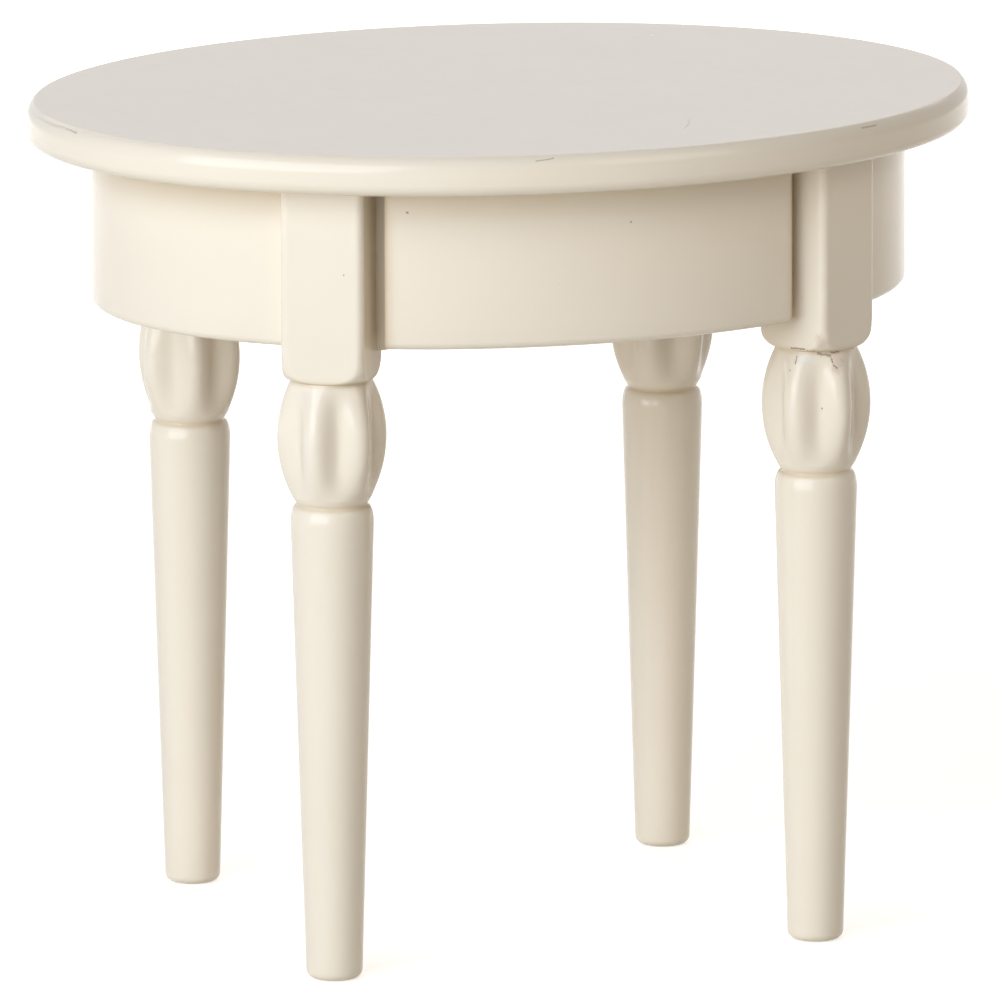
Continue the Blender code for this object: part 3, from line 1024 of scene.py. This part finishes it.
@dataclass
class Dowel:
    """A beech dowel with chamfered ends and glue grooves along it."""

    node: str
    wood: BareBeech
    grooves: int = 8
    groove_depth: float = 0.06 * MM
    chamfer: float = 0.15 * MM
    steps: int = 16
    sharp_angle: float = math.radians(40)

    def __post_init__(self) -> None:
        """Take the dowel's middle, direction, length and radius from the frame."""
        verts = frame["nodes"][self.node].data.vertices
        rounded = {tuple(round(axis, DIGITS) for axis in vert.co) for vert in verts}
        points = [Vector(point) for point in sorted(rounded)]
        self.middle = sum(points, Vector((0.0, 0.0, 0.0))) / len(points)
        far = max(points, key=lambda point: (point - self.middle).length)
        inward = self.middle - far
        end = [point for point in points if (point - far).dot(inward) < inward.length_squared]
        self.way = (sum(end, Vector((0.0, 0.0, 0.0))) / len(end) - self.middle).normalized()
        self.half = max((point - self.middle).dot(self.way) for point in points)
        self.radius = max((point - self.middle).cross(self.way).length for point in points)

    def profile(self) -> list[Vector]:
        """Half of the dowel's section, from the middle of one end to the middle of the other."""
        side = [
            Vector((0.0, self.half)),
            Vector((self.radius - self.chamfer, self.half)),
            Vector((self.radius, self.half - self.chamfer)),
        ]
        return side + [Vector((point.x, -point.y)) for point in reversed(side)]

    def build(self) -> Object:
        """Make the dowel where the frame has it."""
        work = Workpiece(self.node)
        work.turn(self.profile(), self.steps)
        for vert in work.shape.verts:
            wave = math.cos(self.grooves * math.atan2(vert.co.y, vert.co.x))
            keep = 1 - max(wave, 0.0) * self.groove_depth / self.radius
            vert.co.x *= keep
            vert.co.y *= keep
        work.close()
        place = Matrix.Translation(self.middle) @ self.way.to_track_quat("Z", "Y").to_matrix().to_4x4()
        bmesh.ops.transform(work.shape, matrix=place, verts=work.shape.verts)
        wood = self.wood.make(self.node + "_beech", self.way)
        return work.finish(wood, Slot.BARE_BEECH, self.sharp_angle)


@dataclass(frozen=True)
class Lamp:
    """A soft box: where it stands, in degrees round and above the table, its size, light and mirroring."""

    name: str
    azimuth: float
    elevation: float
    distance: float
    width: float
    height: float
    watts: float
    colour: tuple[float, float, float]
    mirrored: bool = True


@dataclass
class Studio:
    """The camera, the soft boxes, the pale floor and the white surround."""

    azimuth: float = math.radians(-19.006)
    elevation: float = math.radians(11.538)
    roll: float = math.radians(-0.161)
    distance: float = 1.19207
    sideways: float = -0.0000814
    upwards: float = 0.031128
    focal_pixels: float = 15623.88
    picture_width: int = 1001
    sensor: float = 36.0
    floor_radius: float = 4.0
    floor_drop: float = 0.02 * MM
    floor_sides: int = 128
    floor_light: Colour = paint_chart(218, 212, 201)
    floor_dark: Colour = paint_chart(212, 206, 195)
    floor_grain: float = 6 * MM
    floor_contrast: float = 0.1
    near_glow: float = 0.62
    glow_from: float = 0.08
    glow_to: float = 0.5
    nearest: float = 0.01
    farthest: float = 20.0
    no_light: Colour = (0.0, 0.0, 0.0, 1.0)
    white: Colour = (1.0, 1.0, 1.0, 1.0)
    dim: Colour = (0.05, 0.05, 0.05, 1.0)
    lamps: tuple[Lamp, ...] = (
        Lamp(
            "key_box", azimuth=-55, elevation=20.4, distance=0.75,
            width=0.75, height=0.6, watts=6.3, colour=(0.785, 0.872, 1.0),
        ),
        Lamp(
            "low_box", azimuth=-59, elevation=5, distance=0.8,
            width=0.8, height=0.25, watts=0.8, colour=(1.0, 0.82, 0.55),
        ),
        Lamp(
            "fill_box", azimuth=30, elevation=35, distance=0.8,
            width=0.4, height=0.4, watts=1.05, colour=(1.0, 0.84, 0.66),
        ),
        Lamp(
            "side_box", azimuth=112, elevation=20, distance=0.8,
            width=0.6, height=0.4, watts=1.7, colour=(0.88, 0.95, 1.0), mirrored=False,
        ),
        Lamp(
            "back_box", azimuth=160, elevation=40, distance=0.8,
            width=1.0, height=0.45, watts=1.6, colour=(1.0, 0.78, 0.84),
        ),
        Lamp(
            "rear_box", azimuth=174, elevation=14, distance=0.8,
            width=0.6, height=0.4, watts=3.3, colour=(0.84, 0.97, 1.0), mirrored=False,
        ),
    )

    def direction(self, azimuth: float, elevation: float) -> Vector:
        """The way from the table towards an azimuth and elevation, with azimuth 0 at the front."""
        level = math.cos(elevation)
        return Vector((math.sin(azimuth) * level, -math.cos(azimuth) * level, math.sin(elevation)))

    def add_camera(self) -> None:
        """Stand the camera where the photograph was taken from."""
        back = self.direction(self.azimuth, self.elevation)
        level = Vector((math.cos(self.azimuth), math.sin(self.azimuth), 0.0))
        upright = back.cross(level)
        right = level * math.cos(self.roll) + upright * math.sin(self.roll)
        up = upright * math.cos(self.roll) - level * math.sin(self.roll)
        place = right * self.sideways + up * self.upwards + back * self.distance
        lens = bpy.data.cameras.new("camera")
        lens.sensor_width = self.sensor
        lens.lens = self.focal_pixels / self.picture_width * self.sensor
        lens.clip_start = self.nearest
        lens.clip_end = self.farthest
        camera = bpy.data.objects.new("camera", lens)
        camera.matrix_world = Matrix.Translation(place) @ Matrix((right, up, back)).transposed().to_4x4()
        bpy.context.scene.collection.objects.link(camera)
        bpy.context.scene.camera = camera

    def add_lamps(self) -> None:
        """Hang the soft boxes, each turned to the table's middle."""
        middle = (CAD_BOX[0] + CAD_BOX[1]) / 2
        for lamp in self.lamps:
            light = bpy.data.lights.new(lamp.name, "AREA")
            light.shape = "RECTANGLE"
            light.size = lamp.width
            light.size_y = lamp.height
            light.energy = lamp.watts
            light.color = lamp.colour
            back = self.direction(math.radians(lamp.azimuth), math.radians(lamp.elevation))
            box = bpy.data.objects.new(lamp.name, light)
            box.location = middle + back * lamp.distance
            box.rotation_euler = back.to_track_quat("Z", "Y").to_euler()
            box.visible_camera = False
            box.visible_glossy = lamp.mirrored
            bpy.context.scene.collection.objects.link(box)

    def add_floor(self) -> None:
        """Lay the pale floor, which keeps the table's shadow and is clear from below."""
        shape = bmesh.new()
        bmesh.ops.create_circle(shape, cap_ends=True, segments=self.floor_sides, radius=self.floor_radius)
        bmesh.ops.translate(shape, verts=shape.verts, vec=(0.0, 0.0, -self.floor_drop))
        mesh = bpy.data.meshes.new("floor")
        shape.to_mesh(mesh)
        shape.free()
        material, graph = new_material("floor_paper")
        material.cycles.emission_sampling = "NONE"
        place = graph.place()
        length = graph.length(place)
        grain = graph.noise(place, self.floor_grain)
        shown = graph.seen()
        colour = graph.mix(grain * self.floor_contrast, self.floor_light, self.floor_dark)
        paper = graph.node("ShaderNodeBsdfDiffuse", {}, {"Color": colour})
        glow_share = self.near_glow + (1.0 - self.near_glow) * length.fade(self.glow_from, self.glow_to)
        shine = graph.mix(shown * glow_share, self.no_light, self.white)
        glow = graph.node("ShaderNodeEmission", {}, {"Color": shine, "Strength": 1.0})
        white = graph.node("ShaderNodeAddShader", {}, {0: paper.outputs[0], 1: glow.outputs[0]})
        below = graph.node("ShaderNodeNewGeometry").outputs["Backfacing"]
        clear = graph.node("ShaderNodeBsdfTransparent")
        surface = graph.node("ShaderNodeMixShader", {}, {0: below, 1: white.outputs[0], 2: clear.outputs[0]})
        graph.node("ShaderNodeOutputMaterial", {}, {"Surface": surface.outputs[0]})
        mesh.materials.append(material)
        floor = bpy.data.objects.new("floor", mesh)
        bpy.context.scene.collection.objects.link(floor)

    def add_surround(self) -> None:
        """Surround the table with dim light, white to the camera."""
        world = bpy.data.worlds.new("surround")
        world.use_nodes = True
        world.cycles.sampling_method = "NONE"
        bpy.context.scene.world = world
        graph = NodeGraph(world.node_tree)
        shade = graph.mix(graph.seen(), self.dim, self.white)
        sky = graph.node("ShaderNodeBackground", {}, {"Color": shade, "Strength": 1.0})
        graph.node("ShaderNodeOutputWorld", {}, {"Surface": sky.outputs[0]})

    def build(self) -> None:
        """Set up the studio."""
        bpy.context.scene.view_settings.view_transform = "Standard"
        self.add_camera()
        self.add_lamps()
        self.add_floor()
        self.add_surround()


FLUTE_TURNS = {
    Corner.FRONT_LEFT: math.radians(22),
    Corner.FRONT_RIGHT: math.radians(11),
    Corner.BACK_LEFT: math.radians(48),
    Corner.BACK_RIGHT: math.radians(28),
}
NIB, SCRATCH, CRACK, SCUFF, FLAKE, BLOOM = MarkKind
TOP_MARKS = (
    PaintMark(SCUFF, 0.14, ((-35.4, 5.3, 63.12), (-35.9, 2.3, 63.14), (-36.0, -0.1, 63.19))),
    PaintMark(SCUFF, 0.12, ((-36.0, -0.1, 63.19), (-35.93, -2.0, 63.2), (-35.6, -4.0, 63.27))),
    PaintMark(SCRATCH, 0.1, ((-35.55, -4.2, 63.25), (-35.28, -5.8, 63.2))),
    PaintMark(SCRATCH, 0.08, ((-6.85, -28.15, 63.14), (-6.17, -28.22, 63.19), (-5.5, -28.21, 63.28))),
    PaintMark(SCRATCH, 0.1, ((20.45, -23.59, 63.18), (21.05, -23.27, 63.16), (21.87, -22.77, 63.18))),
    PaintMark(SCUFF, 0.14, ((8.9, -17.7, 63.5), (8.3, -19.3, 63.5), (7.4, -20.9, 63.5))),
    PaintMark(SCUFF, 0.2, ((18.6, 18.2, 63.5), (18.8, 17.7, 63.5))),
)
FRONT_RAIL_MARKS = (
    PaintMark(NIB, 0.11, ((-14.6, -21.33, 58.59), (-14.52, -21.36, 58.56))),
    PaintMark(NIB, 0.1, ((2.03, -24.03, 57.29),)),
)
LEG_MARKS = {
    Corner.FRONT_LEFT: (PaintMark(NIB, 0.1, ((-19.4, -20.84, 54.1),)),),
    Corner.FRONT_RIGHT: (
        PaintMark(BLOOM, 0.45, ((17.0, -19.7, 45.15), (17.75, -20.07, 45.05))),
        PaintMark(FLAKE, 0.55, ((19.43, -20.4, 45.35), (19.86, -20.54, 44.9), (19.5, -20.7, 44.4))),
        PaintMark(FLAKE, 0.5, ((18.0, -21.2, 46.9), (18.2, -21.2, 46.5))),
        PaintMark(CRACK, 0.1, ((16.54, -19.01, 45.9), (17.16, -20.0, 45.95), (17.77, -20.45, 45.85))),
        PaintMark(CRACK, 0.16, ((17.77, -20.45, 45.85), (18.23, -20.15, 45.66), (18.47, -20.19, 45.5))),
        PaintMark(NIB, 0.14, ((18.5, -20.19, 45.47), (19.13, -20.37, 45.42))),
        PaintMark(CRACK, 0.1, ((19.3, -20.32, 45.61), (19.87, -20.25, 45.62))),
        PaintMark(CRACK, 0.08, ((19.2, -20.4, 45.3), (19.35, -20.6, 44.7), (19.7, -20.7, 44.35))),
        PaintMark(NIB, 0.08, ((16.84, -19.42, 45.3), (16.66, -19.55, 44.81))),
        PaintMark(NIB, 0.1, ((16.31, -19.35, 44.26),)),
    ),
}


def main() -> None:
    """Build the table's finished pieces and the studio."""
    logging.basicConfig(level=logging.INFO, format="%(message)s")
    gloss = GlossPaint()
    paint = gloss.make("cream_gloss_paint")
    wood = BareBeech()
    legs = LegPlace()
    Studio().build()
    Tabletop(gloss.make("tabletop_paint", TOP_MARKS)).build()
    marked_rail = gloss.make("front_rail_paint", FRONT_RAIL_MARKS)
    for rail in Rail:
        ApronRail(rail, legs, marked_rail if rail is Rail.FRONT else paint).build()
    for corner in Corner:
        marks = LEG_MARKS.get(corner)
        leg_paint = gloss.make(corner.word + "_leg_paint", marks) if marks else paint
        TurnedLeg(corner, legs, leg_paint, FLUTE_TURNS[corner]).build()
    for node in sorted(frame["nodes"]):
        if "dowel" in node:
            Dowel(node, wood).build()


if __name__ == "__main__":
    main()
